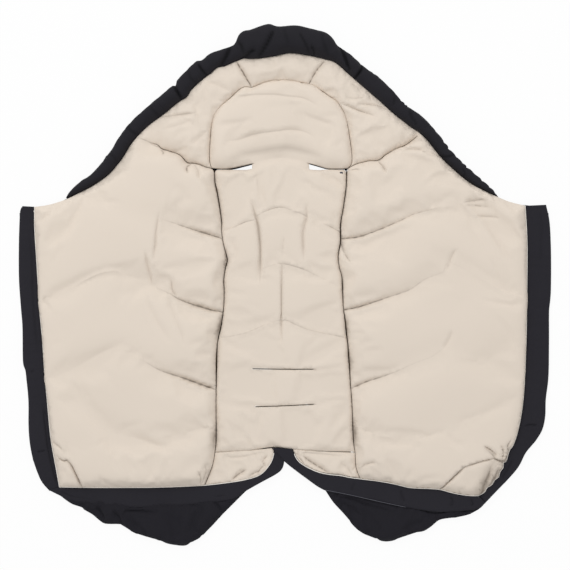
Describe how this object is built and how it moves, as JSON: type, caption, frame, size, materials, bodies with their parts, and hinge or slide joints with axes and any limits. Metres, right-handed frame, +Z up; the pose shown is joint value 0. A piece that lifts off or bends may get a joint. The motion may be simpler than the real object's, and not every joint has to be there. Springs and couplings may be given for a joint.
{
  "type": "car seat footmuff",
  "caption": "Quilted footmuff for an infant car seat, opened out flat, with a gathered elastic hood edge, folding front flaps, a zip and harness openings.",
  "frame": {"origin": "middle of the bounding box at the underside, on the surface that the footmuff lies on", "axes": "+Z up off the surface, +Y toward the hood, +X across to the right of someone who looks down at the open footmuff from its foot end"},
  "size_m": [0.825, 0.803, 0.0295],
  "materials": {
    "lining": "quilted soft knit fabric, matt, warm beige",
    "wadding": "polyester fibre fill",
    "shell": "woven outer fabric, matt black",
    "gathered_edge": "gathered elasticated black fabric",
    "facing": "matt black woven facing",
    "elastic": "covered elastic cord",
    "zip_tape": "woven black zip tape",
    "zip_coil": "black nylon coil",
    "zip_metal": "dark painted zinc"
  },
  "bodies": {
    "back": {"foot_base_shell": "shell", "head_lining": "lining", "head_shell": "shell", "head_wadding": "wadding", "left_foot_facing": "facing", "left_foot_lining": "lining", "left_foot_shell_inner": "shell", "left_foot_zip_coil": "zip_coil", "left_foot_zip_tape": "zip_tape", "left_hood_side_lining": "lining", "left_hood_side_wadding": "wadding", "left_shoulder_roll_casing": "gathered_edge", "left_shoulder_roll_elastic": "elastic", "left_side_lining": "lining", "left_side_shell": "shell", "left_side_wadding": "wadding", "right_foot_facing": "facing", "right_foot_lining": "lining", "right_foot_shell_inner": "shell", "right_foot_zip_coil": "zip_coil", "right_foot_zip_tape": "zip_tape", "right_hood_side_lining": "lining", "right_hood_side_wadding": "wadding", "right_shoulder_roll_casing": "gathered_edge", "right_shoulder_roll_elastic": "elastic", "right_side_lining": "lining", "right_side_shell": "shell", "right_side_wadding": "wadding", "seat_backing": "shell", "seat_lining": "lining", "seat_wadding": "wadding", "zip_bottom_stop": "zip_metal"},
    "left_flap": {"left_facing": "facing", "left_flap_lining": "lining", "left_flap_shell": "shell", "left_flap_wadding": "wadding", "left_foot_shell_outer": "shell", "left_roll_casing": "gathered_edge", "left_roll_elastic": "elastic", "left_zip_coil": "zip_coil", "left_zip_tape": "zip_tape", "left_zip_top_stop": "zip_metal"},
    "right_flap": {"right_facing": "facing", "right_flap_lining": "lining", "right_flap_shell": "shell", "right_flap_wadding": "wadding", "right_foot_shell_outer": "shell", "right_roll_casing": "gathered_edge", "right_roll_elastic": "elastic", "right_zip_coil": "zip_coil", "right_zip_tape": "zip_tape", "right_zip_top_stop": "zip_metal"},
    "hood": {"hood_lining": "lining", "hood_roll_casing": "gathered_edge", "hood_roll_elastic": "elastic", "hood_shell": "shell", "hood_wadding": "wadding"},
    "zip_slider": {"zip_slider": "zip_metal"},
    "zip_pull": {"zip_pull": "zip_metal"}
  },
  "joints": [
    {"name": "left_flap_fold", "type": "hinge", "parent": "back", "child": "left_flap", "pos_m": [-0.2093, -0.00113, 0.032], "axis": [0, 1, 0], "range_deg": [0, 175]},
    {"name": "right_flap_fold", "type": "hinge", "parent": "back", "child": "right_flap", "pos_m": [0.2107, -0.00113, 0.032], "axis": [0, -1, 0], "range_deg": [0, 175]},
    {"name": "hood_fold", "type": "hinge", "parent": "back", "child": "hood", "pos_m": [0.0007, 0.31487, 0.032], "axis": [1, 0, 0], "range_deg": [0, 90]},
    {"name": "zip_run", "type": "slide", "parent": "left_flap", "child": "zip_slider", "axis": [-0.0571, 0.9984, 0], "range_m": [0, 0.278]},
    {"name": "pull_swing", "type": "hinge", "parent": "zip_slider", "child": "zip_pull", "pos_m": [-0.39185, -0.17815, 0.001], "axis": [0.9984, 0.0571, 0], "range_deg": [0, 180]}
  ]
}
